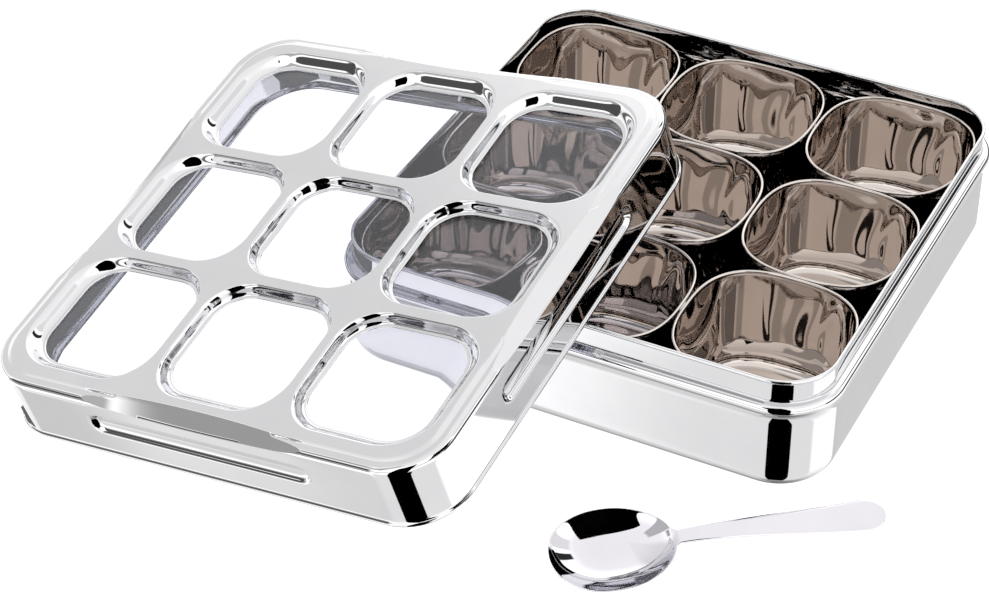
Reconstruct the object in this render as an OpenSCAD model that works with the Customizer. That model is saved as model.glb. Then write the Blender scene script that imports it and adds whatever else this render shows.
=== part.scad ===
// Square spice box in polished stainless steel: an open box that holds nine loose cups,
// a pressed lid with nine windows over one clear sheet, and a spoon.
// The origin is the centre of the box's underside. The lid is off the box and leans on its
// near-left corner, and the spoon lies on the table in front.

/* [Box] */
// Width of the box, left to right, over its plain wall
box_w = 230; // [190:1:300]
// Depth of the box, front to back, over its plain wall
box_d = 235; // [190:1:300]
// Height of the box to its rim
box_h = 59; // [50:1:90]
// Plan radius of the box's corners
corner_r = 26.5; // [18:0.5:40]
// Thickness of the box's sheet
box_t = 0.8; // [0.6:0.1:1.5]
// Radius where the wall turns into the floor
foot_r = 9; // [4:0.5:12]
// How far the seat that carries the lid lies below the rim
neck_h = 11.5; // [8:0.5:16]
// Height of the rounded bead under the seat
bead_h = 5.4; // [4:0.2:8]
// How far the bead stands out of the plain wall
bead_out = 1.8; // [1:0.1:3]
// How far the neck above the seat is set in from the plain wall
neck_in = 2; // [1.9:0.1:2.6]

/* [Cups] */
// Gap between neighbouring cups, and between a cup and the neck
cup_gap = 0.6; // [0.4:0.1:2]
// How far the cups' rims lie below the box's rim
cup_drop = 6.3; // [2:0.1:20]
// Plan radius of a cup's corners at its rim
cup_r = 28.5; // [20:0.5:34]
// Thickness of a cup's sheet
cup_t = 0.6; // [0.4:0.1:1]
// Radius where a cup's wall turns into its base
cup_foot_r = 6; // [3:0.5:8]
// Diameter of the rolled rim of a cup
cup_rim = 1.4; // [1.2:0.1:2]
// Gap under a cup, between its base and the box's floor
cup_seat_gap = 0.1; // [0.05:0.05:0.5]

/* [Lid] */
// Height of the lid from its hem to the top of its bars
lid_h = 34; // [24:0.5:50]
// Thickness of the lid's sheet
lid_t = 0.8; // [0.6:0.1:1]
// Radius of the shoulder between the skirt and the top
shoulder_r = 3; // [2:0.5:6]
// Diameter of the rolled hem round the skirt
hem = 2.6; // [1.8:0.1:3.4]
// Width of the border between the skirt and the openings, left and right
border_w = 16.5; // [14:0.5:24]
// Width of the border between the skirt and the openings, front and back
border_d = 18.75; // [14:0.25:24]
// Plan radius of an opening's corners
window_r = 16; // [10:0.5:24]
// Width of the bars between the openings, left to right
bar_w = 11.5; // [10.5:0.1:20]
// Width of the bars between the openings, front to back
bar_d = 12.5; // [10.5:0.1:20]
// How deep the windows are pressed in below the bars
recess = 5; // [3:0.5:6]
// Run of a window's sloping wall, seen from above
slope_run = 3; // [2:0.2:3.4]
// Width of the flat lip round an opening
lip = 1.8; // [1:0.1:1.9]
// Thickness of the clear sheet under the windows
clear_t = 2; // [1:0.5:3]
// Gap between the clear sheet's edge and the skirt
clear_gap = 3.2; // [3:0.1:6]

/* [Grips] */
// Length of the groove pressed in each side of the skirt
grip_l = 112; // [60:1:130]
// Height of that groove
grip_h = 10; // [6:0.5:12]
// Depth of that groove
grip_depth = 2; // [1:0.2:2.2]
// Height of the groove's middle line above the hem
grip_z = 18.5; // [14:0.5:22]

/* [Leaning lid] */
// Turn of the lid about the upright, in degrees
lean_turn = -2.9; // [-8:0.1:8]
// How far the lid's right side reaches past the box's front wall
lap_side = 113; // [85:1:140]
// How far the lid's back side reaches past the box's left wall
lap_back = 130.5; // [85:1:150]
// Gap left where the lid rests on the box and on the table
rest_gap = 0.35; // [0.3:0.05:1]

/* [Spoon] */
// Length of the spoon
spoon_l = 144; // [110:1:180]
// Length of the bowl
bowl_l = 53; // [40:1:60]
// Width of the bowl
bowl_w = 40; // [28:1:44]
// Depth of the bowl
bowl_deep = 7; // [5:0.5:10]
// Width of the neck
neck_w = 6.6; // [5:0.2:8]
// Width of the handle's end
end_w = 17; // [12:0.5:22]
// Height of the arch in the handle
arch_h = 2; // [1:0.5:12]
// Thickness of the spoon
spoon_t = 1.4; // [1:0.1:2]
// How far the bowl's tip lies left of the box's right wall
spoon_inset = 81; // [60:1:84]
// How far the bowl's tip lies in front of the box's front wall
spoon_gap = 84; // [75:1:120]
// Direction of the handle from the bowl, in degrees from straight right
spoon_turn = 40; // [20:1:50]
// Roll of the spoon about its length, its far edge up, in degrees
spoon_roll = 14; // [0:1:18]

/* [Hidden] */
$fn = 64;

ARC_STEPS = 5;
FINE_STEPS = 8;

seat_z = box_h - neck_h;
neck_inner = neck_in + box_t;
cup_w = (box_w - 2 * neck_inner - 4 * cup_gap) / 3;
cup_d = (box_d - 2 * neck_inner - 4 * cup_gap) / 3;
cup_pitch_x = cup_w + cup_gap;
cup_pitch_y = cup_d + cup_gap;
cup_z = box_t + cup_seat_gap;
cup_h = box_h - cup_drop - cup_z;
window_w = (box_w - 2 * border_w - 2 * bar_w) / 3;
window_d = (box_d - 2 * border_d - 2 * bar_d) / 3;
window_pitch_x = window_w + bar_w;
window_pitch_y = window_d + bar_d;
recess_run = slope_run + lip;
hem_r = hem / 2;
hem_out = hem_r - lid_t / 2;
clear_z = lid_h - recess - lid_t - clear_t;
clear_inset = lid_t + clear_gap;

// The lid rests on the table at its low corner and on two walls of the box. In its own
// plane it climbs towards lean_dir, and both wall contacts lie equally far up that line.
lean_dir = atan2(lap_back, lap_side);
climb = [cos(lean_dir), sin(lean_dir)];
hem_corner = corner_r + hem_out;
low_reach = (box_w / 2 - corner_r) * climb[0] + (box_d / 2 - corner_r) * climb[1] + hem_corner;
side_contact = [box_w / 2, box_d / 2 - lap_side];
back_contact = [box_w / 2 - lap_back, box_d / 2];
lean_tilt = asin((box_h + rest_gap) / (side_contact * climb + low_reach));

// A point of the hem's plane after the lid is tilted about its low side and then turned
function turn_z(p, a) = [p[0] * cos(a) - p[1] * sin(a), p[0] * sin(a) + p[1] * cos(a), p[2]];
function leaned(p) =
    let (up = climb * p, side = [-climb[1], climb[0]] * p)
    turn_z(
        [
            climb[0] * up * cos(lean_tilt) - climb[1] * side,
            climb[1] * up * cos(lean_tilt) + climb[0] * side,
            up * sin(lean_tilt)
        ],
        lean_turn
    );
lid_at = [
    -box_w / 2 - leaned(back_contact)[0],
    -box_d / 2 - leaned(side_contact)[1],
    low_reach * sin(lean_tilt) + rest_gap
];

// Points of an arc, from angle a0 to angle a1
function arc(cx, cy, r, a0, a1, steps = ARC_STEPS) =
    [for (i = [0:steps]) let (a = a0 + (a1 - a0) * i / steps) [cx + r * cos(a), cy + r * sin(a)]];

// A rectangle with round corners, centred
module round_rect(w, d, r) {
    union() {
        square([w - 2 * r, d], center = true);
        square([w, d - 2 * r], center = true);
        for (x = [-1, 1], y = [-1, 1])
            translate([x * (w / 2 - r), y * (d / 2 - r)])
                circle(r);
    }
}

// Carries a profile round a rectangle with round corners. The profile's x is the distance
// outwards from the rectangle, and its y is the height.
module carried(w, d, r) {
    union() {
        for (k = [0:3]) {
            across_w = k % 2 == 0 ? w : d;
            along_d = k % 2 == 0 ? d : w;
            rotate([0, 0, 90 * k]) {
                translate([across_w / 2, along_d / 2 - r, 0])
                    rotate([90, 0, 0])
                        linear_extrude(along_d - 2 * r)
                            children();
                translate([across_w / 2 - r, along_d / 2 - r, 0])
                    rotate_extrude(angle = 90)
                        translate([r, 0])
                            children();
            }
        }
    }
}

// Foot, plain wall, bead, seat and neck of the box, drawn with its outer face at x = 0
module box_profile() {
    t = box_t;
    bead_r = bead_h / 2;
    bead_z = seat_z - bead_r;
    bead_x = bead_out - bead_r;
    polygon(concat(
        arc(-foot_r, foot_r, foot_r, -90, 0),
        [[0, bead_z - bead_r]],
        arc(bead_x, bead_z, bead_r, -40, 75),
        [[-neck_in, seat_z], [-neck_in, box_h], [-neck_in - t, box_h], [-neck_in - t, seat_z - t]],
        arc(bead_x, bead_z, bead_r - t, 75, -40),
        [[-t, bead_z - bead_r - t]],
        arc(-foot_r, foot_r, foot_r - t, 0, -90)
    ));
}

module box_body() {
    color("silver")
        union() {
            carried(box_w, box_d, corner_r) box_profile();
            linear_extrude(box_t)
                round_rect(box_w - 2 * foot_r, box_d - 2 * foot_r, corner_r - foot_r);
        }
}

// Foot, wall and rolled rim of a cup, drawn with its rim's outer edge at x = 0
module cup_profile() {
    t = cup_t;
    wall_x = -(cup_rim - t) / 2;
    rim_r = cup_rim / 2;
    rim_z = cup_h - rim_r;
    foot_x = wall_x - cup_foot_r;
    rim_a = asin((t / 2) / rim_r);
    polygon(concat(
        arc(foot_x, cup_foot_r, cup_foot_r, -90, 0),
        arc(-rim_r, rim_z, rim_r, -90 + rim_a, 270 - rim_a, FINE_STEPS),
        arc(foot_x, cup_foot_r, cup_foot_r - t, 0, -90)
    ));
}

// A cup in a column and a row, each from -1 to 1
module cup(column, row) {
    base_inset = (cup_rim - cup_t) / 2 + cup_foot_r;
    color("gainsboro")
        translate([column * cup_pitch_x, row * cup_pitch_y, cup_z])
            union() {
                carried(cup_w, cup_d, cup_r) cup_profile();
                linear_extrude(cup_t)
                    round_rect(cup_w - 2 * base_inset, cup_d - 2 * base_inset, cup_r - base_inset);
            }
}

module cup_front_left() { cup(-1, -1); }
module cup_front_middle() { cup(0, -1); }
module cup_front_right() { cup(1, -1); }
module cup_mid_left() { cup(-1, 0); }
module cup_middle() { cup(0, 0); }
module cup_mid_right() { cup(1, 0); }
module cup_back_left() { cup(-1, 1); }
module cup_back_middle() { cup(0, 1); }
module cup_back_right() { cup(1, 1); }

// Lifts the lid's own frame, hem down and top up, to where it leans
module leaning() {
    translate(lid_at)
        rotate([0, 0, lean_turn])
            rotate(a = lean_tilt, v = [climb[1], -climb[0], 0])
                children();
}

// Hem, skirt and shoulder of the lid, drawn with the skirt's outer face at x = 0
module skirt_profile() {
    t = lid_t;
    hem_a = asin((t / 2) / hem_r);
    polygon(concat(
        arc(-t / 2, hem_r, hem_r, 90 + hem_a - 360, 90 - hem_a, FINE_STEPS),
        arc(-shoulder_r, lid_h - shoulder_r, shoulder_r, 0, 90),
        arc(-shoulder_r, lid_h - shoulder_r, shoulder_r - t, 90, 0)
    ));
}

// Sloping wall and lip of a window, drawn from the top of its slope at x = 0
module recess_profile() {
    t = lid_t;
    low = lid_h - recess;
    polygon([
        [0, lid_h],
        [-slope_run, low],
        [-recess_run, low],
        [-recess_run, low - t],
        [-slope_run, low - t],
        [0, lid_h - t]
    ]);
}

// Round-ended bar along Y, standing inwards from x = 0, for the groove of a right side
module grip_bar(h, depth) {
    rotate([90, 0, -90])
        linear_extrude(depth)
            union() {
                square([grip_l - grip_h, h], center = true);
                for (s = [-1, 1])
                    translate([s * (grip_l - grip_h) / 2, 0])
                        circle(h / 2);
            }
}

// Places a right-side shape on all four sides
module on_sides() {
    for (k = [0:3])
        rotate([0, 0, 90 * k])
            translate([(k % 2 == 0 ? box_w : box_d) / 2, 0, grip_z])
                children();
}

module lid_frame() {
    hole_w = window_w + 2 * recess_run;
    hole_d = window_d + 2 * recess_run;
    hole_r = window_r + recess_run;
    color("silver")
        leaning()
            union() {
                difference() {
                    union() {
                        carried(box_w, box_d, corner_r) skirt_profile();
                        on_sides() grip_bar(grip_h + 2 * lid_t, grip_depth + lid_t);
                    }
                    on_sides() translate([hem, 0, 0]) grip_bar(grip_h, grip_depth + hem);
                }
                translate([0, 0, lid_h - lid_t])
                    linear_extrude(lid_t)
                        difference() {
                            round_rect(box_w - 2 * shoulder_r, box_d - 2 * shoulder_r, corner_r - shoulder_r);
                            for (x = [-1:1], y = [-1:1])
                                translate([x * window_pitch_x, y * window_pitch_y])
                                    round_rect(hole_w, hole_d, hole_r);
                        }
                for (x = [-1:1], y = [-1:1])
                    translate([x * window_pitch_x, y * window_pitch_y, 0])
                        carried(hole_w, hole_d, hole_r) recess_profile();
            }
}

module lid_clear_sheet() {
    color("lightblue", 0.4)
        leaning()
            translate([0, 0, clear_z])
                linear_extrude(clear_t)
                    round_rect(box_w - 2 * clear_inset, box_d - 2 * clear_inset, corner_r - clear_inset);
}

// Half width of the spoon at a place along it, from 0 at the bowl's tip to 1 at the end
function half_width(x) =
    let (
        bowl_x = min(x / bowl_l, 1),
        oval = bowl_w / 2 * sqrt(max(0, 1 - pow(abs(2 * bowl_x - 1), 2.1))),
        along = max(0, (x - bowl_l) / (spoon_l - bowl_l)),
        blade = neck_w / 2 + (end_w - neck_w) / 2 * pow(along, 1.3),
        round_end = sqrt(max(0, 1 - pow(max(0, (x - spoon_l + end_w / 2) / (end_w / 2)), 2))),
        handle = blade * round_end
    )
    x < bowl_l * 0.5 ? oval : max(oval, handle);

// Height of the spoon's rim line, low at the bowl, arched over the neck and down to the end
function rim_height(x) =
    let (along = max(0, (x - bowl_l * 0.8) / (spoon_l - bowl_l * 0.8)))
    bowl_deep + (arch_h * sin(180 * pow(along, 0.6)) - bowl_deep * along);

// Depth of the hollow, none along the handle
function hollow(x, side) =
    let (along = min(1, x / bowl_l))
    x > bowl_l ? 0 : bowl_deep * pow(max(0, sin(180 * pow(along, 0.9))), 0.8) * (1 - side * side);

// The bowl's tip keeps its place from the box's right wall, and stays clear of the lid
LID_TO_SPOON = 12;
spoon_x = max(box_w / 2 - spoon_inset, -box_w / 2 + lap_back + LID_TO_SPOON);

SPOON_RINGS = 44;
SPOON_ACROSS = 10;
function spoon_station(i) = spoon_l * (1 - cos(180 * i / SPOON_RINGS)) / 2;
function spoon_point(i, j, level) =
    let (
        x = min(max(spoon_station(i), spoon_t / 4), spoon_l - spoon_t / 4),
        side = 2 * j / SPOON_ACROSS - 1
    )
    [x, side * half_width(x), rim_height(x) - hollow(x, side) + level * spoon_t];
function spoon_index(i, j, level) = (i * (SPOON_ACROSS + 1) + j) * 2 + level;
spoon_points = [
    for (i = [0:SPOON_RINGS], j = [0:SPOON_ACROSS], level = [0:1]) spoon_point(i, j, level)
];
// Lowest point of the rolled spoon, which comes down to the table
spoon_low = min([for (p = spoon_points) p[1] * sin(spoon_roll) + p[2] * cos(spoon_roll)]);
spoon_faces = concat(
    [for (i = [0:SPOON_RINGS - 1], j = [0:SPOON_ACROSS - 1])
        [for (c = [[0, 0], [1, 0], [1, 1], [0, 1]]) spoon_index(i + c[0], j + c[1], 0)]],
    [for (i = [0:SPOON_RINGS - 1], j = [0:SPOON_ACROSS - 1])
        [for (c = [[0, 0], [0, 1], [1, 1], [1, 0]]) spoon_index(i + c[0], j + c[1], 1)]],
    [for (i = [0:SPOON_RINGS - 1], j = [0, SPOON_ACROSS])
        [for (c = j == 0 ? [[0, 0], [0, 1], [1, 1], [1, 0]] : [[0, 0], [1, 0], [1, 1], [0, 1]])
            spoon_index(i + c[0], j, c[1])]],
    [for (j = [0:SPOON_ACROSS - 1], i = [0, SPOON_RINGS])
        [for (c = i == 0 ? [[0, 0], [1, 0], [1, 1], [0, 1]] : [[0, 0], [0, 1], [1, 1], [1, 0]])
            spoon_index(i, j + c[0], c[1])]]
);

module spoon() {
    color("white")
        translate([spoon_x, -box_d / 2 - spoon_gap, rest_gap - spoon_low])
            rotate([0, 0, spoon_turn])
                rotate([spoon_roll, 0, 0])
                    polyhedron(points = spoon_points, faces = spoon_faces);
}

box_body();
cup_front_left();
cup_front_middle();
cup_front_right();
cup_mid_left();
cup_middle();
cup_mid_right();
cup_back_left();
cup_back_middle();
cup_back_right();
lid_frame();
lid_clear_sheet();
spoon();
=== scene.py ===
import math

import bmesh
import bpy
import numpy as np
from mathutils import Matrix, Vector


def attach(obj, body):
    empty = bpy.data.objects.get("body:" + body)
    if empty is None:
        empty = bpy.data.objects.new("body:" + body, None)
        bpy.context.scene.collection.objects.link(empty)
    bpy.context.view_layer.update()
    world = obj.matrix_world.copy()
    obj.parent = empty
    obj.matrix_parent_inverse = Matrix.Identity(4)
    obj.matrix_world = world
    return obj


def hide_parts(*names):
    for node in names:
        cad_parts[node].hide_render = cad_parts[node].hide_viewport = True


# Square spice box in mirror-polished stainless steel, with nine loose cups, a pressed lid
# that leans on it and a spoon in front. Sizes are in millimetres until a mesh is made.
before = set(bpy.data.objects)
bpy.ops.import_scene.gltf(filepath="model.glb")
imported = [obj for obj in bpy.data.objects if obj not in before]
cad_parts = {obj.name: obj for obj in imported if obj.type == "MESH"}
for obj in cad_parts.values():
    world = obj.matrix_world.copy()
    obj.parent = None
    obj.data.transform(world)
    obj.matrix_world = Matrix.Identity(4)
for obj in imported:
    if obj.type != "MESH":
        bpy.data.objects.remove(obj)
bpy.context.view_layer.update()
mm = 0.001  # metres in a millimetre
mergeGap = 2e-6  # metres: points closer than this are one
tinyEdge = 1e-6  # metres: a shorter edge is dissolved
print("stage 1: the frame is loaded")


def linear(hexColour):
    # sRGB to linear light: c / 12.92 in the darkest part, ((c + 0.055) / 1.055) ^ 2.4 above it
    c = np.array([int(hexColour[k:k + 2], 16) for k in (1, 3, 5)]) / 255
    return (*np.where(c <= 0.04045, c / 12.92, ((c + 0.055) / 1.055) ** 2.4).tolist(), 1.0)


def addNode(tree, kind, settings=None, inputs=None):
    # one node with its settings; an input is a value, or the socket that feeds it
    node = tree.nodes.new(kind)
    for key, value in (settings or {}).items():
        setattr(node, key, value)
    for key, value in (inputs or {}).items():
        if isinstance(value, bpy.types.NodeSocket):
            tree.links.new(value, node.inputs[key])
        else:
            node.inputs[key].default_value = value
    return node


def smoothStep(t):
    # 3t^2 - 2t^3 between 0 and 1, flat outside
    t = np.clip(t, 0, 1)
    return t * t * (3 - 2 * t)


def arc(cx, cy, r, a0, a1, steps):
    # points of a circle arc from angle a0 to a1 in degrees: centre + r (cos a, sin a)
    a = np.radians(np.linspace(a0, a1, steps + 1))
    return np.stack([cx + r * np.cos(a), cy + r * np.sin(a)], 1)


def roundedPath(halfW, halfD, radius, cornerSteps, sideSteps):
    # Closed path round a rectangle with round corners. Each point is kept as the centre it
    # turns about and its outward normal, so any offset is centre + normal * (radius + offset).
    corner = np.array([[1, 1], [-1, 1], [-1, -1], [1, -1]]) * [halfW - radius, halfD - radius]
    centres, angles = [], []
    for k in range(4):
        t = np.linspace(0, 1, sideSteps, endpoint=False)[:, None]
        centres.append(corner[k - 1] * (1 - t) + corner[k] * t)
        angles.append(np.full(sideSteps, 90.0 * k))
        centres.append(np.repeat(corner[k][None], cornerSteps, 0))
        angles.append(90.0 * k + 90 * np.linspace(0, 1, cornerSteps, endpoint=False))
    a = np.radians(np.concatenate(angles))
    return np.concatenate(centres), np.stack([np.cos(a), np.sin(a)], 1), radius


def bulgedPath(halfW, halfD, power, steps, finer=6, pull=18):
    # Closed path on a superellipse, |x / halfW|^power + |y / halfD|^power = 1, with the normals
    # of that curve. Even angles space its points unevenly, so it is drawn finer at first and
    # its points are then spaced by length. The centres lie one pull inside it.
    a = np.linspace(0, 2 * np.pi, steps * finer, endpoint=False)
    c, n = np.cos(a), np.sin(a)
    points = np.stack([
        halfW * np.sign(c) * np.abs(c) ** (2 / power),
        halfD * np.sign(n) * np.abs(n) ** (2 / power)], 1)
    ring = np.concatenate([points, points[:1]])
    walked = np.concatenate([[0], np.cumsum(np.linalg.norm(np.diff(ring, axis=0), axis=1))])
    even = np.linspace(0, walked[-1], steps, endpoint=False)
    points = np.stack([np.interp(even, walked, ring[:, k]) for k in (0, 1)], 1)
    half = np.array([halfW, halfD])
    slope = np.sign(points) * np.abs(points / half) ** (power - 1) / half
    normals = slope / np.linalg.norm(slope, axis=1)[:, None]
    return points - normals * pull, normals, pull


def carry(path, profile):
    # carries a profile of (offset outwards, height) along the path: a grid of rows by points
    centres, normals, radius = path
    reach = np.maximum(radius + profile[:, 0], 0)
    flat = centres[None] + normals[None] * reach[:, None, None]
    height = np.repeat(profile[:, 1][:, None], len(centres), 1)
    return np.concatenate([flat, height[..., None]], 2)


def ringFaces(rows, columns):
    # quads between neighbouring rows of a grid whose rows are closed rings
    i, j = np.meshgrid(np.arange(rows - 1), np.arange(columns), indexing="ij")
    here = i * columns + j
    after = i * columns + (j + 1) % columns
    return np.stack([here, after, after + columns, here + columns], -1).reshape(-1, 4)


def capFaces(first, pole, columns, flip):
    # fan of triangles from the ring that starts at point first to its pole
    j = np.arange(columns)
    fan = np.stack([first + j, first + (j + 1) % columns, np.full(columns, pole)], 1)
    return fan[:, ::-1] if flip else fan


def turned(grid):
    # closed skin of a carried grid, with a pole in the middle of its first and last rings
    rows, columns = grid.shape[:2]
    points = grid.reshape(-1, 3)
    poles = np.array([[*ring[:, :2].mean(0), ring[0, 2]] for ring in (grid[0], grid[-1])])
    return np.concatenate([points, poles]), [
        ringFaces(rows, columns),
        capFaces(0, len(points), columns, True),
        capFaces((rows - 1) * columns, len(points) + 1, columns, False)]


def makePiece(name, skins, material, body, node):
    # joins the skins into one mesh in metres, merges doubles, turns the faces outwards; a skin
    # is its points and its blocks of faces
    points, faces, start = [], [], 0
    for skinPoints, blocks in skins:
        points.append(skinPoints)
        for block in blocks:
            faces += (block + start).tolist()
        start += len(skinPoints)
    mesh = bpy.data.meshes.new(name)
    mesh.from_pydata((np.concatenate(points) * mm).tolist(), [], faces)
    shape = bmesh.new()
    shape.from_mesh(mesh)
    bmesh.ops.remove_doubles(shape, verts=shape.verts, dist=mergeGap)
    bmesh.ops.dissolve_degenerate(shape, edges=shape.edges, dist=tinyEdge)
    bmesh.ops.recalc_face_normals(shape, faces=shape.faces)
    shape.to_mesh(mesh)
    shape.free()
    mesh.polygons.foreach_set("use_smooth", np.ones(len(mesh.polygons), bool))
    mesh.materials.append(material)
    piece = bpy.data.objects.new(name, mesh)
    bpy.context.scene.collection.objects.link(piece)
    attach(piece, body)
    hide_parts(node)
    return piece


def emptyMaterial(name):
    # a new material with no nodes yet, and its node tree
    material = bpy.data.materials.new(name)
    material.use_nodes = True
    material.node_tree.nodes.clear()
    return material, material.node_tree


def polishedSteel(name, look):
    # Stainless steel sheet, pressed and then buffed to a mirror: it shows its surroundings
    # sharply. Pressing leaves long soft waves that bend reflections, and buffing leaves fine
    # lines along the wall and a faint haze.
    material, tree = emptyMaterial(name)
    place = addNode(tree, "ShaderNodeTexCoord").outputs["Object"]
    flow = addNode(tree, "ShaderNodeMapping", {}, {"Vector": place, "Scale": (1, 1, look["waveRise"])})
    waves = addNode(tree, "ShaderNodeTexNoise", {}, {
        "Vector": flow.outputs["Vector"], "Scale": 1000 / look["waveMm"], "Detail": 1.0, "Roughness": 0.4})
    # buffing lines run level round a wall, drawn coarser than real ones so that they show
    lineScale = [1000 / look[key] for key in ("lineLengthMm", "lineLengthMm", "lineMm")]
    along = addNode(tree, "ShaderNodeMapping", {}, {"Vector": place, "Scale": lineScale})
    lines = addNode(tree, "ShaderNodeTexNoise", {}, {
        "Vector": along.outputs["Vector"], "Scale": 1.0, "Detail": 3.0, "Roughness": 0.6})
    smears = addNode(tree, "ShaderNodeTexNoise", {}, {
        "Vector": place, "Scale": 1000 / look["smearMm"], "Detail": 5.0, "Roughness": 0.55})
    haze = addNode(tree, "ShaderNodeMapRange", {}, {
        "Value": smears.outputs["Fac"], "From Min": 0.35, "From Max": 0.75,
        "To Min": look["roughLow"], "To Max": look["roughHigh"]})
    tint = addNode(tree, "ShaderNodeMix", {"data_type": "RGBA"}, {
        "Factor": smears.outputs["Fac"], "A": linear(look["steel"]), "B": linear(look["steelDeep"])})
    waveBump = addNode(tree, "ShaderNodeBump", {}, {
        "Strength": 1.0, "Distance": look["waveDepthMm"] / 1000, "Height": waves.outputs["Fac"]})
    lineBump = addNode(tree, "ShaderNodeBump", {}, {
        "Strength": 1.0, "Distance": look["lineDepthMm"] / 1000, "Height": lines.outputs["Fac"],
        "Normal": waveBump.outputs["Normal"]})
    shader = addNode(tree, "ShaderNodeBsdfPrincipled", {}, {
        "Base Color": tint.outputs["Result"], "Metallic": 1.0, "Roughness": haze.outputs["Result"],
        "Normal": lineBump.outputs["Normal"]})
    addNode(tree, "ShaderNodeOutputMaterial", {}, {"Surface": shader.outputs["BSDF"]})
    return material


def clearAcrylic(name, look):
    # Cast acrylic sheet, clear with a faint cool cast: it mirrors a little of the light over
    # what lies below. It sags slightly, and handling leaves an uneven slight haze.
    material, tree = emptyMaterial(name)
    place = addNode(tree, "ShaderNodeTexCoord").outputs["Object"]
    handling = addNode(tree, "ShaderNodeTexNoise", {}, {
        "Vector": place, "Scale": 1000 / look["handledMm"], "Detail": 4.0, "Roughness": 0.7})
    sag = addNode(tree, "ShaderNodeTexNoise", {}, {
        "Vector": place, "Scale": 1000 / look["sagMm"], "Detail": 0.0})
    haze = addNode(tree, "ShaderNodeMapRange", {}, {
        "Value": handling.outputs["Fac"], "From Min": 0.4, "From Max": 0.8,
        "To Min": look["roughLow"], "To Max": look["roughHigh"]})
    sagBump = addNode(tree, "ShaderNodeBump", {}, {
        "Strength": 1.0, "Distance": look["sagDepthMm"] / 1000, "Height": sag.outputs["Fac"]})
    shader = addNode(tree, "ShaderNodeBsdfPrincipled", {}, {
        "Base Color": linear(look["acrylic"]), "Metallic": 0.0, "Roughness": haze.outputs["Result"],
        "IOR": 1.49, "Transmission Weight": 1.0, "Normal": sagBump.outputs["Normal"]})
    addNode(tree, "ShaderNodeOutputMaterial", {}, {"Surface": shader.outputs["BSDF"]})
    return material


# finishes: the sizes and depths of waves, lines and smears are in millimetres
boxLook = {
    "steel": "#dadadb", "steelDeep": "#d1d1d3", "waveMm": 70, "waveRise": 1.0, "waveDepthMm": 0.06,
    "lineMm": 0.5, "lineLengthMm": 40, "lineDepthMm": 0.0002, "smearMm": 18,
    "roughLow": 0.02, "roughHigh": 0.05,
}
cupLook = dict(
    boxLook, steel="#d0c8c3", steelDeep="#c4bcb6", waveMm=22, waveRise=0.3, waveDepthMm=0.09)
lidLook = dict(boxLook, waveMm=80, waveDepthMm=0.05)
spoonLook = dict(boxLook, steel="#dddbe0", steelDeep="#d5d3d8", waveMm=30, waveDepthMm=0.02, lineMm=0.4)
sheetLook = {
    "acrylic": "#dcdde6", "handledMm": 1.5, "sagMm": 90, "sagDepthMm": 0.2,
    "roughLow": 0.01, "roughHigh": 0.03,
}
boxSteel = polishedSteel("stainlessSteelBuffedBox", boxLook)
cupSteel = polishedSteel("stainlessSteelBuffedCup", cupLook)
lidSteel = polishedSteel("stainlessSteelBuffedLid", lidLook)
spoonSteel = polishedSteel("stainlessSteelBuffedSpoon", spoonLook)
sheetAcrylic = clearAcrylic("acrylicCastClear", sheetLook)
print("stage 2: materials are made")

box = {
    "w": 230, "d": 235, "h": 59, "corner": 26.5, "t": 0.8, "foot": 9, "neckH": 11.5,
    "beadH": 5.4, "beadOut": 1.8, "neckIn": 2.0, "seatBend": 0.5, "rimR": 0.9,
}


def boxProfile(s):
    # Outer side from the floor's middle up over foot, wall, bead, seat and neck to the curled
    # rim, then the inner side back down. Every bend is a circle arc, and a short straight
    # stretch is left on each side of it.
    seat = s["h"] - s["neckH"]
    beadR = s["beadH"] / 2
    beadX, beadZ = s["beadOut"] - beadR, seat - beadR
    rimX, rimZ = -s["neckIn"] - s["t"] / 2, s["h"] - s["rimR"]
    inner = -s["neckIn"] - s["t"]
    bend = s["seatBend"]
    wallTop, neckTop = beadZ - beadR, rimZ - s["rimR"] - 0.4
    return np.concatenate([
        [[-s["corner"], 0]],
        arc(-s["foot"], s["foot"], s["foot"], -90, 0, 14),
        np.stack([np.zeros(8), np.linspace(s["foot"] + 3, wallTop - 0.6, 8)], 1),
        arc(beadX, beadZ, beadR, -42, 74, 12),
        arc(-s["neckIn"] + bend, seat + bend, bend, 265, 180, 3),
        np.stack([np.full(3, -s["neckIn"]), np.linspace(seat + 2, neckTop, 3)], 1),
        arc(rimX, rimZ, s["rimR"], -62, 242, 14),
        [[inner, neckTop], [inner, seat + 0.4]],
        arc(beadX, beadZ, beadR - s["t"], 80, -40, 8),
        [[-s["t"], wallTop - s["t"]], [-s["t"], s["foot"] + 2]],
        arc(-s["foot"], s["foot"], s["foot"] - s["t"], 0, -90, 10),
        [[-s["corner"], s["t"]]],
    ])


boxPath = roundedPath(box["w"] / 2, box["d"] / 2, box["corner"], cornerSteps=24, sideSteps=24)
boxSkin = turned(carry(boxPath, boxProfile(box)))
makePiece("boxShell", [boxSkin], boxSteel, "box", "box_body")
print("stage 3: the box is made")

cup = {
    "gap": 0.6, "drop": 6.3, "lift": 0.1, "power": 2.72, "floorInset": 17, "t": 0.6, "foot": 6,
    "rim": 1.4, "panelInset": 9.5, "panelRise": 0.5,
    # step up to the base's panel: distance in from its edge, share of its rise
    "panelStep": [(0, 0), (0.4, 0.2), (1.0, 0.8), (1.4, 1)],
    # press marks: share of the way round from the right side, width, depth and sway
    "marks": [(0.193, 3.2, 0.4, 3.5), (0.245, 8.0, 0.25, 4.0), (0.70, 3.4, 0.3, 3.0)],
    # shares of the height: where a mark's sway starts, where it fades in and where it ends
    "swayFrom": 0.15, "fadeFrom": 0.16, "fadeOver": 0.2, "endAt": 0.93, "endOver": 0.12,
    "wallRow": 20,  # a row of the profile that lies on the outer wall
}


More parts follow.
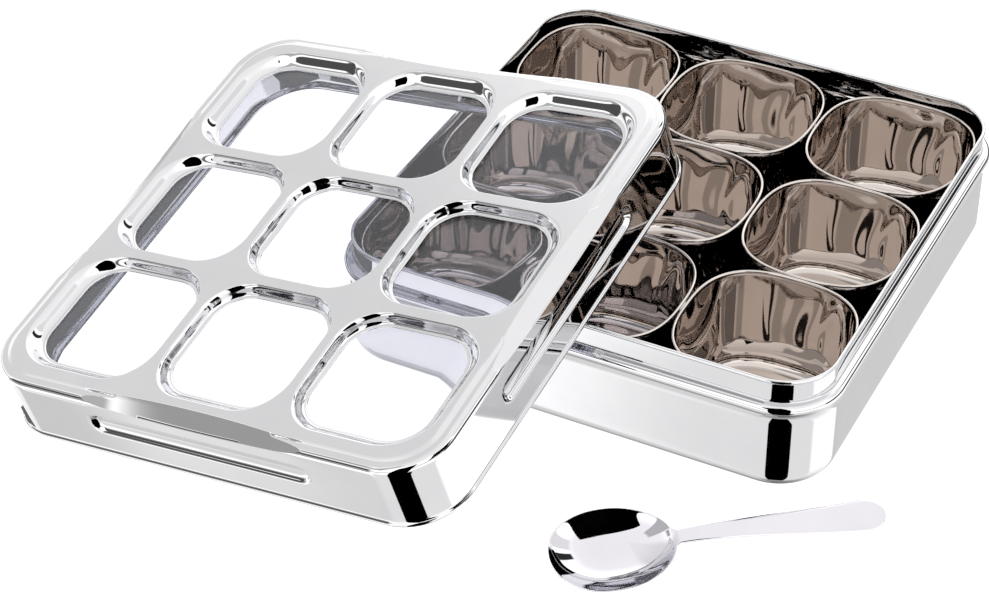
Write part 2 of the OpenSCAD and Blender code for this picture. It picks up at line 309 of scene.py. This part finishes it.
def cupProfile(s, h):
    # Outer side from the base's middle over foot and wall to the rolled rim, then the inner
    # side down to a base whose middle panel is raised by a small step.
    wall = -(s["rim"] - s["t"]) / 2
    rimR = s["rim"] / 2
    turn = math.degrees(math.asin(s["t"] / 2 / rimR))
    foot = wall - s["foot"]
    step = np.array(s["panelStep"])
    return np.concatenate([
        [[-s["floorInset"], 0]],
        arc(foot, s["foot"], s["foot"], -90, 0, 10),
        np.stack([np.full(12, wall), np.linspace(s["foot"] + 3, h - s["rim"] - 2, 12)], 1),
        arc(-rimR, h - rimR, rimR, -90 + turn, 270 - turn, 16),
        np.stack([np.full(16, wall - s["t"]), np.linspace(h - s["rim"] - 1.5, s["foot"] + 3, 16)], 1),
        arc(foot, s["foot"], s["foot"] - s["t"], 0, -90, 12),
        np.stack([-s["panelInset"] - step[:, 0], s["t"] + s["panelRise"] * step[:, 1]], 1),
        [[-s["floorInset"], s["t"] + s["panelRise"]]],
    ])


def pressMarks(grid, path, s, h):
    # Long shallow marks that pressing leaves on the walls: each is a dent whose depth is a bell
    # curve across and whose middle sways as a sine on its way up. Both skins of the wall
    # follow it.
    out = grid.copy()
    normals = path[1]
    wall = grid[s["wallRow"], :, :2]
    around = np.cumsum(np.linalg.norm(np.diff(wall, axis=0, prepend=wall[-1:]), axis=1))
    length = around[-1]
    up = grid[..., 2] / h
    fade = smoothStep((up - s["fadeFrom"]) / s["fadeOver"]) * smoothStep((s["endAt"] - up) / s["endOver"])
    for share, width, depth, sway in s["marks"]:
        middle = share * length + sway * np.sin(np.pi * 2 * (up - s["swayFrom"]))
        gap = (around[None] - middle + length / 2) % length - length / 2
        out[..., :2] -= normals[None] * (depth * np.exp(-(gap / width) ** 2) * fade)[..., None]
    return out


# three cups fill the box each way, with a gap beside each one and at both walls
neckInner = box["neckIn"] + box["t"]
cupW = (box["w"] - 2 * neckInner - 4 * cup["gap"]) / 3
cupD = (box["d"] - 2 * neckInner - 4 * cup["gap"]) / 3
cupZ = box["t"] + cup["lift"]
cupH = box["h"] - cup["drop"] - cupZ
cupPath = bulgedPath(cupW / 2, cupD / 2, cup["power"], steps=320)
cupGrid = pressMarks(carry(cupPath, cupProfile(cup, cupH)), cupPath, cup, cupH)
cupNames = [
    ["cup_front_left", "cup_front_middle", "cup_front_right"],
    ["cup_mid_left", "cup_middle", "cup_mid_right"],
    ["cup_back_left", "cup_back_middle", "cup_back_right"],
]
for row, names in enumerate(cupNames):
    for column, node in enumerate(names):
        shift = np.array([(column - 1) * (cupW + cup["gap"]), (row - 1) * (cupD + cup["gap"]), cupZ])
        makePiece(node + "_shell", [turned(cupGrid + shift)], cupSteel, node, node)
print("stage 4: the cups are made")

lid = {
    # flange is how far in from the skirt the surfaces round the windows end
    "h": 34, "t": 0.8, "shoulder": 3, "hem": 2.6, "flange": 7.9,
    "windowR": 16, "barW": 11.5, "barD": 12.5, "borderW": 16.5, "borderD": 18.75,
    # recess round a window: depth, flat lip, and the slope's run beside a bar and at the border
    "recess": 5, "lip": 1.0, "runBar": 2.8, "runBorder": 6.4,
    # a window's rounded edge: distance from it, depth below the top as a share of the sheet
    "edgeRound": [(0.9, 0), (0.35, 0.025), (0.08, 0.25), (0, 0.5), (0.08, 0.75), (0.5, 1)],
    # shallow step down along the border
    "stepIn": 6.0, "stepRun": 1.3, "stepDrop": 0.8,
    # grips: round-ended bars pressed in, deepest along the middle, with an eased edge
    "gripL": 112, "gripH": 10, "gripZ": 18.5, "gripDepth": 1.8, "gripBow": 0.4, "gripBowIn": 1.4,
    "gripEase": 1.9, "gripEaseIn": 1.5,
    # facet over each grip: length, how far in it starts at its middle and ends, slope in degrees
    "facetL": 118, "facetReach": 7.5, "facetEnd": 1.6, "facetSlope": 32,
    # how it leans: overlaps with the box's walls, turn in degrees, and the gap to what it rests on
    "lapSide": 113, "lapBack": 130.5, "turn": -2.9, "rest": 0.35,
}


def leaningPose(s, b):
    # The lid's low corner is on the table, and its hem rests on the box's front and left walls.
    # Its plane climbs towards one direction, and both wall contacts lie equally far up it.
    hemOut = s["hem"] / 2 - s["t"] / 2
    halfW, halfD = b["w"] / 2, b["d"] / 2
    climb = np.array([s["lapSide"], s["lapBack"]]) / math.hypot(s["lapSide"], s["lapBack"])
    low = (halfW - b["corner"]) * climb[0] + (halfD - b["corner"]) * climb[1] + b["corner"] + hemOut
    side = np.array([halfW, halfD - s["lapSide"]])
    back = np.array([halfW - s["lapBack"], halfD])
    tilt = math.asin((b["h"] + s["rest"]) / (side @ climb + low))
    turn = Matrix.Rotation(math.radians(s["turn"]), 3, "Z")
    lean = np.array(turn @ Matrix.Rotation(tilt, 3, Vector((climb[1], -climb[0], 0))))
    at = np.array([
        -halfW - (lean @ [*back, 0])[0],
        -halfD - (lean @ [*side, 0])[1],
        low * math.sin(tilt) + s["rest"],
    ])
    return lean, at


lean, leanAt = leaningPose(lid, box)


def leaned(points):
    # from the lid's own frame, hem at 0, to where it leans
    return points @ lean.T + leanAt


def sideSamples(half, corner, cell, gripEnd):
    # Places along one side of the lid, from its middle to its end: even over the middle cell
    # and on to the grip's end, closest there, then in equal angles round the corner.
    closeFrom, closeTo = gripEnd - 9, gripEnd + 3
    out = np.concatenate([
        np.linspace(cell, closeFrom, 7),
        np.linspace(closeFrom + 1.2, closeTo, 10),
        np.linspace(closeTo + 2, half - corner, 13)[:-1],
        half - corner + corner * np.tan(np.radians(np.linspace(0, 45, 13)))])
    return [-out[::-1], np.linspace(-cell, cell, 37), out]


def onOutline(loop, half, corner):
    # pulls a square corner's points in to the round corner, along lines from its centre
    inner = half - corner
    over = np.maximum(np.abs(loop) - inner, 0)
    away = np.linalg.norm(over, axis=1)
    both = (over > 1e-9).all(1)
    scale = np.where(both, corner / np.maximum(away, 1e-9), 1)[:, None]
    return np.where(both[:, None], np.sign(loop) * (inner + over * scale), loop)


def boxLoop(x, y):
    # once round a rectangle through the given places on its sides, from its right front corner
    return np.concatenate([
        np.stack([np.full(len(y) - 1, x[-1]), y[:-1]], 1),
        np.stack([x[:0:-1], np.full(len(x) - 1, y[-1])], 1),
        np.stack([np.full(len(y) - 1, x[0]), y[:0:-1]], 1),
        np.stack([x[:-1], np.full(len(x) - 1, y[0])], 1)])


def windowSkin(s, loop, window, centre, side):
    # Surface between a window's edge and its cell's border, along the shortest line at each
    # point. Its height there is a flat lip, an S-shaped slope, 3t^2 - 2t^3, and a flat bar, and
    # its underside follows one sheet below. side is the cell's column and row, -1 to 1.
    inner = window / 2 - s["windowR"]
    core = np.clip(loop - centre, -inner, inner)
    out = loop - centre - core
    away = np.linalg.norm(out, axis=1)
    n = out / away[:, None]
    edge = core + n * s["windowR"] + centre
    width = away - s["windowR"]
    outer = (np.maximum(n * side, 0) ** 2).sum(1)  # 1 where the window faces the border
    run = s["runBar"] + (s["runBorder"] - s["runBar"]) * outer
    far = s["lip"] + run
    # distances from the window's edge: top side, rounded edge, underside
    slope = np.linspace(0, 1, 15)[:, None]
    flat = far + (width - far) * np.array([[0.66], [0.33], [0.08]])
    edgeRound = np.array(s["edgeRound"])
    distance = np.concatenate([
        width[None], flat, s["lip"] + run * slope[::-1],
        np.repeat(edgeRound[:, :1], len(n), 1),
        s["lip"] + run * slope[::2], flat[1:2], width[None]])
    topRows = 1 + len(flat) + len(slope)
    below = np.concatenate([
        np.zeros(topRows), edgeRound[:, 1], np.ones(len(distance) - topRows - len(edgeRound))])
    drop = s["recess"] * (1 - smoothStep((distance - s["lip"]) / run))
    height = s["h"] - drop - s["t"] * below[:, None]
    points = edge[None] + n[None] * distance[..., None]
    grid = np.concatenate([points, height[..., None]], 2)
    return grid.reshape(-1, 3), [ringFaces(*grid.shape[:2])]


def facetedTop(s, reach):
    # Flange, step, shoulder and the wall's start, as offsets and heights for each place round
    # the outline. A plane that leans outwards cuts them off past reach, and the rows crowd
    # towards the cut's two edges.
    flangeRows, bendRows, wallRows, wallEnd = 200, 120, 80, 27
    top, bend = s["h"], s["shoulder"]
    bendZ = top - s["stepDrop"] - bend
    flangeX = np.linspace(-s["flange"], -bend, flangeRows)
    step = s["stepDrop"] * smoothStep((flangeX + s["stepIn"]) / s["stepRun"])
    fine = np.concatenate([
        np.stack([flangeX, top - step], 1),
        arc(-bend, bendZ, bend, 90, 0, bendRows)[1:],
        np.stack([np.zeros(wallRows), np.linspace(bendZ, wallEnd, wallRows + 1)[1:]], 1)])
    slope = math.tan(math.radians(s["facetSlope"]))
    plane = top - np.maximum(fine[:, :1] + reach, 0) * slope
    over = fine[:, 1:] > plane + 1e-6
    isCut = over.any(0)
    uncutRow = flangeRows + 42  # where there is no cut, its rows meet on the shoulder
    end = len(fine) - 1
    first = np.maximum(np.where(isCut, over.argmax(0), uncutRow).astype(float) - 1, 0)
    last = np.where(isCut, end - over[::-1].argmax(0), uncutRow).astype(float)
    before = np.array([0, 0.3, 0.5, 0.62, 0.72, 0.8, 0.86, 0.91, 0.95, 0.985])[:, None]
    on = np.array([0, 0.05, 0.25, 0.5, 0.75, 0.95, 1.0])[:, None]
    after = np.array([0.02, 0.06, 0.12, 0.2, 0.3, 0.45, 0.7, 1.0])[:, None]
    where = np.concatenate([before * first, first + on * (last - first), last + after * (end - last)])
    count = np.arange(len(fine))
    x, z = np.interp(where, count, fine[:, 0]), np.interp(where, count, fine[:, 1])
    return x, np.minimum(z, top - np.maximum(x + reach, 0) * slope)


def lowerSkirt(s, reach):
    # Wall, rolled hem and inner side back up to the flange, as offsets and heights for each
    # place round the outline. The inner side stays one sheet under the facet's plane.
    t, bend, hemR, hemSteps = s["t"], s["shoulder"], s["hem"] / 2, 14
    bendZ = s["h"] - s["stepDrop"] - bend
    hemTurn = math.degrees(math.asin(t / 2 / hemR))
    # rows of the wall, closer over the grip
    wallZ = np.concatenate([
        [26.5, 25.6], s["gripZ"] + np.linspace(6, 3, 7), s["gripZ"] + np.linspace(2, -2, 4),
        s["gripZ"] - np.linspace(3, 6, 7), np.linspace(s["gripZ"] - 7.4, s["hem"] + 1, 5)])
    innerZ = wallZ[::-1][::2]
    rest = np.concatenate([
        np.stack([np.zeros(len(wallZ)), wallZ], 1),
        arc(-t / 2, hemR, hemR, 90 - hemTurn, hemTurn - 270, hemSteps),
        np.stack([np.full(len(innerZ), -t), innerZ], 1),
        arc(-bend, bendZ, bend - t, 0, 90, 5), [[-s["flange"], s["h"] - t]]])
    isInner = np.arange(len(rest)) > len(wallZ) + hemSteps
    angle = math.radians(s["facetSlope"])
    x = np.repeat(rest[:, :1], len(reach), 1)
    roof = s["h"] - np.maximum(x + reach, 0) * math.tan(angle) - t / math.cos(angle)
    return x, np.where(isInner[:, None], np.minimum(rest[:, 1:], roof), rest[:, 1:])


def skirtSkin(s, outline, half, corner):
    # The skirt's profile is carried along the outline, centre + normal * offset. A grip is
    # pressed in along the normal: its depth is full inside a round-ended bar, eases to nothing
    # over its edge, and has a shallow bow, 1 - v^2, up its middle.
    core = np.clip(outline, corner - half, half - corner)
    normal = outline - core
    normal /= np.linalg.norm(normal, axis=1)[:, None]
    alongSide = np.where(np.abs(normal[:, 0]) > 0.5, outline[:, 1], outline[:, 0])
    # the facet's reach fades towards its ends as half an ellipse
    grown = np.sqrt(np.clip(1 - (2 * alongSide / s["facetL"]) ** 2, 0, 1))
    reach = s["facetEnd"] + (s["facetReach"] - s["facetEnd"]) * grown
    upperX, upperZ = facetedTop(s, reach)
    lowerX, lowerZ = lowerSkirt(s, reach)
    offset = np.concatenate([upperX, lowerX]) + s["flange"]
    height = np.concatenate([upperZ, lowerZ])
    flat = outline[None] + normal[None] * offset[..., None]
    grid = np.concatenate([flat, height[..., None]], 2)
    onFlat = np.abs(np.abs(normal).max(1) - 1) < 1e-6
    gripR = s["gripH"] / 2
    pastEnd = np.maximum(np.abs(alongSide) - (s["gripL"] - s["gripH"]) / 2, 0)[None]
    fromEdge = np.hypot(pastEnd, height - s["gripZ"]) - gripR
    bow = np.clip(1 - ((height - s["gripZ"]) / (gripR - s["gripBowIn"])) ** 2, 0, 1)
    eased = 1 - smoothStep((fromEdge + s["gripEaseIn"]) / s["gripEase"])
    press = (s["gripDepth"] + s["gripBow"] * bow) * eased * onFlat[None]
    grid[..., :2] -= normal[None] * press[..., None]
    return grid.reshape(-1, 3), [ringFaces(*grid.shape[:2])]


def pressedLid(s, b):
    # Nine surfaces, one round each window, and the skirt round them. All of them take their
    # places along the borders from the same two lists, so their seams coincide.
    half = np.array([b["w"], b["d"]]) / 2 - s["flange"]
    corner = b["corner"] - s["flange"]
    bar = np.array([s["barW"], s["barD"]])
    window = (np.array([b["w"], b["d"]]) - 2 * np.array([s["borderW"], s["borderD"]]) - 2 * bar) / 3
    pitch = window + bar
    xs = sideSamples(half[0], corner, pitch[0] / 2, s["gripL"] / 2)
    ys = sideSamples(half[1], corner, pitch[1] / 2, s["gripL"] / 2)
    skins = []
    for i in (-1, 0, 1):
        for j in (-1, 0, 1):
            loop = onOutline(boxLoop(xs[i + 1], ys[j + 1]), half, corner)
            skins.append(windowSkin(s, loop, window, pitch * [i, j], [i, j]))
    x, y = (np.concatenate([places[0][:-1], places[1][:-1], places[2]]) for places in (xs, ys))
    skins.append(skirtSkin(s, onOutline(boxLoop(x, y), half, corner), half, corner))
    return [(leaned(points), blocks) for points, blocks in skins]


makePiece("lidPressed", pressedLid(lid, box), lidSteel, "lid", "lid_frame")
print("stage 5: the lid is made")

sheet = {"t": 2, "gap": 3.2, "edge": 0.25}  # gap is to the inside of the lid's skirt


def sheetProfile(s, w):
    # flat slab with softened edges, from the middle of its underside to the middle of its top
    e = s["edge"]
    return np.concatenate([
        [[-w, 0]], arc(-e, e, e, -90, 0, 3), arc(-e, s["t"] - e, e, 0, 90, 3), [[-w, s["t"]]]])


sheetInset = lid["t"] + sheet["gap"]
sheetCorner = box["corner"] - sheetInset
sheetPath = roundedPath(
    box["w"] / 2 - sheetInset, box["d"] / 2 - sheetInset, sheetCorner, cornerSteps=16, sideSteps=6)
sheetPoints, sheetBlocks = turned(carry(sheetPath, sheetProfile(sheet, sheetCorner)))
sheetPoints[:, 2] += lid["h"] - lid["recess"] - lid["t"] - sheet["t"]
sheetSkin = (leaned(sheetPoints), sheetBlocks)
makePiece("clearSheet", [sheetSkin], sheetAcrylic, "lid", "lid_clear_sheet")
print("stage 6: the clear sheet is made")

spoon = {
    "l": 144, "bowlL": 53, "bowlW": 40, "bowlDeep": 7, "neckW": 6.6, "endW": 17, "arch": 2,
    # the bowl's tip: inset from the box's right side, and this gap in front of the box
    "t": 1.4, "inset": 81, "gap": 84, "turn": 40, "roll": 14, "rest": 0.35,
    "stations": 130, "across": 34,
    # shapes of the curves: bowl outline, blade and its end, arch, dish and the sheet's edge
    "ovalShift": 0.92, "ovalPower": 2.1, "flare": 1.2, "endLength": 0.62, "endPower": 2.2,
    "archShift": 0.72, "dishPower": 2.4, "dishEase": 0.9, "dishAcross": 2.3, "edgePower": 10,
    # shares of the bowl's length: where the blade starts and takes to widen, where the arch starts
    "bladeFrom": 0.45, "bladeOver": 0.45, "archFrom": 0.75,
}


def spoonSkin(s, b):
    # Stations from the bowl's tip to the handle's end, closer at both ends by a cosine. Each
    # is a flat loop over the top and back under, thinning to a round edge. The half width is a
    # smooth union of an oval bowl and a widening blade. The rim line is level over most of the
    # bowl, then falls to the handle's end with a slight arch, and the hollow is a smooth dish.
    length, bowlL, deep = s["l"], s["bowlL"], s["bowlDeep"]
    x = length * (1 - np.cos(np.pi * np.linspace(0.01, 0.99, s["stations"]))) / 2
    bowl = np.minimum(x / bowlL, 1)
    ovalWay = np.abs(2 * bowl ** s["ovalShift"] - 1)
    oval = s["bowlW"] / 2 * np.maximum(0, 1 - ovalWay ** s["ovalPower"]) ** 0.5
    along = np.clip((x - bowlL) / (length - bowlL), 0, 1)
    blade = s["neckW"] / 2 + (s["endW"] - s["neckW"]) / 2 * along ** s["flare"]
    endL = s["endW"] * s["endLength"]
    endWay = np.maximum(0, (x - length + endL) / endL)
    blade = blade * np.maximum(0, 1 - endWay ** s["endPower"]) ** 0.5
    blade = blade * smoothStep((x - bowlL * s["bladeFrom"]) / (bowlL * s["bladeOver"]))
    half = (oval ** 3 + blade ** 3) ** (1 / 3)
    archX = bowlL * s["archFrom"]
    way = np.clip((x - archX) / (length - archX), 0, 1)
    rim = deep * (1 - smoothStep(way)) + s["arch"] * np.sin(np.pi * way ** s["archShift"]) ** 2
    dish = deep * np.maximum(0, 1 - np.abs(2 * bowl - 1) ** s["dishPower"]) ** s["dishEase"]
    side = np.cos(np.linspace(0, np.pi, s["across"]))
    loopSide = np.concatenate([side, side[-2:0:-1]])
    face = np.concatenate([np.ones(s["across"]), -np.ones(s["across"] - 2)])
    thick = s["t"] / 2 * np.sqrt(np.maximum(0, 1 - loopSide ** s["edgePower"])) * face
    y = half[:, None] * loopSide[None]
    hollow = dish[:, None] * (1 - np.abs(loopSide[None]) ** s["dishAcross"])
    z = rim[:, None] - hollow + thick[None] + s["t"] / 2
    grid = np.stack([np.repeat(x[:, None], y.shape[1], 1), y, z], 2)
    points, blocks = turned(grid)
    points[-2] = [0, 0, grid[0, :, 2].mean()]
    points[-1] = [length, 0, grid[-1, :, 2].mean()]
    # rolled about its own length, far edge up, until its belly meets the table
    r = math.radians(s["roll"])
    roll = np.array([[1, 0, 0], [0, math.cos(r), -math.sin(r)], [0, math.sin(r), math.cos(r)]])
    points = points @ roll.T
    points[:, 2] -= points[:, 2].min()
    a = math.radians(s["turn"])
    spin = np.array([[math.cos(a), -math.sin(a), 0], [math.sin(a), math.cos(a), 0], [0, 0, 1]])
    at = np.array([b["w"] / 2 - s["inset"], -b["d"] / 2 - s["gap"], s["rest"]])
    return points @ spin.T + at, blocks


spoonPiece = makePiece("spoonStamped", [spoonSkin(spoon, box)], spoonSteel, "spoon", "spoon")
spoonPiece.visible_glossy = False  # no other piece mirrors it
print("stage 7: the spoon is made")

studio = {
    "light": 1.75, "floorWhite": "#ffffff", "floorGlow": 1.6, "floorRadius": 12000,
    "floorSides": 96, "floorZ": -0.4,
    # painted shade under the lid's left part, a dim sheet standing in for the lid's shadow: its glow, how
    # far right it reaches, its height
    "shade": 0.16, "shadeTo": -45, "shadeZ": -0.2,
    # black card over the spoon: middle, half width and height, turn and tilt in degrees, outline
    "card": (121, -228, 107), "cardHalf": (55, 48), "cardTurn": 57, "cardUp": 52,
    "cardOutline": [(-1, -1), (-0.5, -0.8), (0.1, -1), (1, -0.7), (1, 1), (-1, 1)],
    # grey of the tent from straight down, 0, over the horizon, 0.5, to straight up, 1
    "greys": [
        (0.0, 0.12), (0.06, 0.55), (0.2, 0.95), (0.44, 1.0), (0.468, 0.85), (0.48, 0.1),
        (0.511, 0.1), (0.524, 0.7), (0.62, 0.95), (0.82, 1.0), (0.9, 0.72), (1.0, 0.68),
    ],
    # dimmed patches: turn from the front in degrees, height of the direction, grey, softness
    "patches": [
        ((-126, -88), (0.42, 0.8), 0.56, 0.3),
        ((-145, -128), (-0.3, 0.12), 0.35, 0.06),
        ((-76, -62), (-1.0, -0.72), 0.48, 0.05),
        ((-53.5, -34), (-1.0, -0.74), 0.55, 0.05),
        ((-21, 84), (-0.85, -0.5), 0.62, 0.12),
        ((150, 180), (-0.72, -0.3), 0.45, 0.12),
        ((-52, -24), (0.5, 0.9), 0.36, 0.03),
        ((-70, -56.2), (0.3, 0.68), 0.27, 0.06),
        ((118, 138), (0.42, 0.72), 0.6, 0.06),
        ((149, 157), (0.42, 0.72), 0.02, 0.03),
        ((95, 180), (-0.22, 0.12), 0.06, 0.03),
        ((-165, -156), (-0.25, 0.1), 0.15, 0.03),
        ((-72, -30), (-0.3, 0.05), 0.3, 0.05),
        ((-70, -34), (0.05, 0.36), 0.06, 0.03),
        ((2.5, 45), (-0.93, -0.57), 0.0, 0.012),
        ((2.5, 37), (-0.59, 0.6), 0.0, 0.012),
    ],
}


def makeWorld(s):
    # A white light tent, and a plain glow where the camera looks past everything. The tent's
    # grey follows the height of the direction, with a dark strip at the horizon. The patches
    # give the polished steel its dark streaks at this camera; from elsewhere some show as hard shapes.
    world = bpy.data.worlds.new("lightTent")
    bpy.context.scene.world = world
    world.use_nodes = True
    tree = world.node_tree
    tree.nodes.clear()
    way = addNode(tree, "ShaderNodeTexCoord").outputs["Generated"]
    split = addNode(tree, "ShaderNodeSeparateXYZ", {}, {"Vector": way})
    front = addNode(tree, "ShaderNodeMath", {"operation": "MULTIPLY"}, {
        0: split.outputs["Y"], 1: -1.0})
    turn = addNode(tree, "ShaderNodeMath", {"operation": "ARCTAN2"}, {
        0: split.outputs["X"], 1: front.outputs[0]})
    up = split.outputs["Z"]
    share = addNode(tree, "ShaderNodeMapRange", {}, {
        "Value": up, "From Min": -1.0, "From Max": 1.0, "To Min": 0.0, "To Max": 1.0})
    ramp = addNode(tree, "ShaderNodeValToRGB", {}, {"Fac": share.outputs["Result"]})
    band = ramp.color_ramp
    while len(band.elements) < len(s["greys"]):
        band.elements.new(0.5)
    for element, (at, grey) in zip(band.elements, s["greys"]):
        element.position = at
        element.color = (grey, grey, grey, 1)

    def within(value, low, high, soft):
        # 1 between low and high, easing to 0 over soft on either side
        smooth = {"interpolation_type": "SMOOTHSTEP"}
        rising = addNode(tree, "ShaderNodeMapRange", smooth, {
            "Value": value, "From Min": low - soft, "From Max": low, "To Min": 0.0, "To Max": 1.0})
        falling = addNode(tree, "ShaderNodeMapRange", smooth, {
            "Value": value, "From Min": high, "From Max": high + soft, "To Min": 1.0, "To Max": 0.0})
        return addNode(tree, "ShaderNodeMath", {"operation": "MULTIPLY"}, {
            0: rising.outputs["Result"], 1: falling.outputs["Result"]}).outputs[0]

    colour = ramp.outputs["Color"]
    for turnRange, upRange, grey, soft in s["patches"]:
        turnPart = within(turn.outputs[0], *np.radians(turnRange).tolist(), soft)
        patch = addNode(tree, "ShaderNodeMath", {"operation": "MULTIPLY"}, {
            0: turnPart, 1: within(up, *upRange, soft)})
        colour = addNode(tree, "ShaderNodeMix", {"data_type": "RGBA"}, {
            "Factor": patch.outputs[0], "A": colour, "B": (grey, grey, grey, 1)}).outputs["Result"]
    tent = addNode(tree, "ShaderNodeBackground", {}, {"Color": colour, "Strength": s["light"]})
    plain = addNode(tree, "ShaderNodeBackground", {}, {
        "Color": linear(s["floorWhite"]), "Strength": s["floorGlow"]})
    seen = addNode(tree, "ShaderNodeLightPath").outputs["Is Camera Ray"]
    mixed = addNode(tree, "ShaderNodeMixShader", {}, {
        0: seen, 1: tent.outputs[0], 2: plain.outputs[0]})
    addNode(tree, "ShaderNodeOutputWorld", {}, {"Surface": mixed.outputs[0]})


def stageSheet(name, points, glow, seen):
    # a flat sheet that glows evenly; seen names the rays that meet it
    mesh = bpy.data.meshes.new(name)
    mesh.from_pydata((points * mm).tolist(), [], [list(range(len(points)))])
    material, tree = emptyMaterial(name + "Paper")
    light = addNode(tree, "ShaderNodeEmission", {}, {
        "Color": linear(studio["floorWhite"]), "Strength": glow})
    addNode(tree, "ShaderNodeOutputMaterial", {}, {"Surface": light.outputs[0]})
    mesh.materials.append(material)
    made = bpy.data.objects.new(name, mesh)
    bpy.context.scene.collection.objects.link(made)
    for ray in ("camera", "diffuse", "glossy", "transmission", "shadow"):
        setattr(made, "visible_" + ray, ray in seen)


def makeFloor(s):
    # a wide pale floor that glows evenly, so it keeps no shadow; the camera sees it, and so
    # does light that comes through the clear sheet
    a = np.radians(np.linspace(0, 360, s["floorSides"], endpoint=False))
    z = np.full(s["floorSides"], s["floorZ"])
    floor = np.stack([s["floorRadius"] * np.cos(a), s["floorRadius"] * np.sin(a), z], 1)
    stageSheet("floor", floor, s["floorGlow"], ("camera", "transmission"))


def makeShade(s, b):
    # a dim sheet on the table under the lid's left part, which only mirrors see: painted shade that stands
    # in for the lid's shadow on the evenly glowing floor
    left, right, back = -b["w"] / 2, s["shadeTo"], b["d"] / 2
    under = leaned(np.array([[left, -back, 0], [right, -back, 0], [right, back, 0], [left, back, 0]]))
    under[:, 2] = s["shadeZ"]
    stageSheet("shade", under, s["shade"], ("glossy",))


def makeCard(s):
    # a black card that leans over the spoon, which only mirrors see
    turn, tilt = math.radians(s["cardTurn"]), math.radians(s["cardUp"])
    across = np.array([math.cos(turn), math.sin(turn), 0])
    rise = np.array([
        -math.sin(turn) * math.sin(tilt), math.cos(turn) * math.sin(tilt), math.cos(tilt)])
    outline = np.array(s["cardOutline"]) * s["cardHalf"]
    card = outline[:, :1] * across + outline[:, 1:] * rise + s["card"]
    stageSheet("blackCard", card, 0.0, ("glossy",))


makeWorld(studio)
makeFloor(studio)
makeShade(studio, box)
makeCard(studio)
bpy.context.scene.view_settings.view_transform = "Standard"
print("stage 8: the studio is made")

view = {
    "target": (-67.64, -49.53, 0), "distance": 1203.5, "azimuth": 27.328, "elevation": 37.727,
    "roll": -0.625, "lens": 95.04, "sensor": 36, "nearest": 50, "farthest": 60000,
}


def makeCamera(s):
    # stands back from the target along the given azimuth and elevation, rolled about its own axis
    a, e, roll = (math.radians(s[key]) for key in ("azimuth", "elevation", "roll"))
    away = Vector((math.sin(a) * math.cos(e), -math.cos(a) * math.cos(e), math.sin(e)))
    level = Vector((math.cos(a), math.sin(a), 0))
    upright = away.cross(level)
    right = level * math.cos(roll) + upright * math.sin(roll)
    up = upright * math.cos(roll) - level * math.sin(roll)
    camera = bpy.data.objects.new("camera", bpy.data.cameras.new("camera"))
    camera.data.lens = s["lens"]
    camera.data.sensor_width = s["sensor"]
    camera.data.clip_start = s["nearest"] * mm
    camera.data.clip_end = s["farthest"] * mm
    at = Matrix.Translation((Vector(s["target"]) + away * s["distance"]) * mm)
    camera.matrix_world = at @ Matrix((right, up, away)).transposed().to_4x4()
    bpy.context.scene.collection.objects.link(camera)
    bpy.context.scene.camera = camera


makeCamera(view)
print("stage 9: the camera is placed")
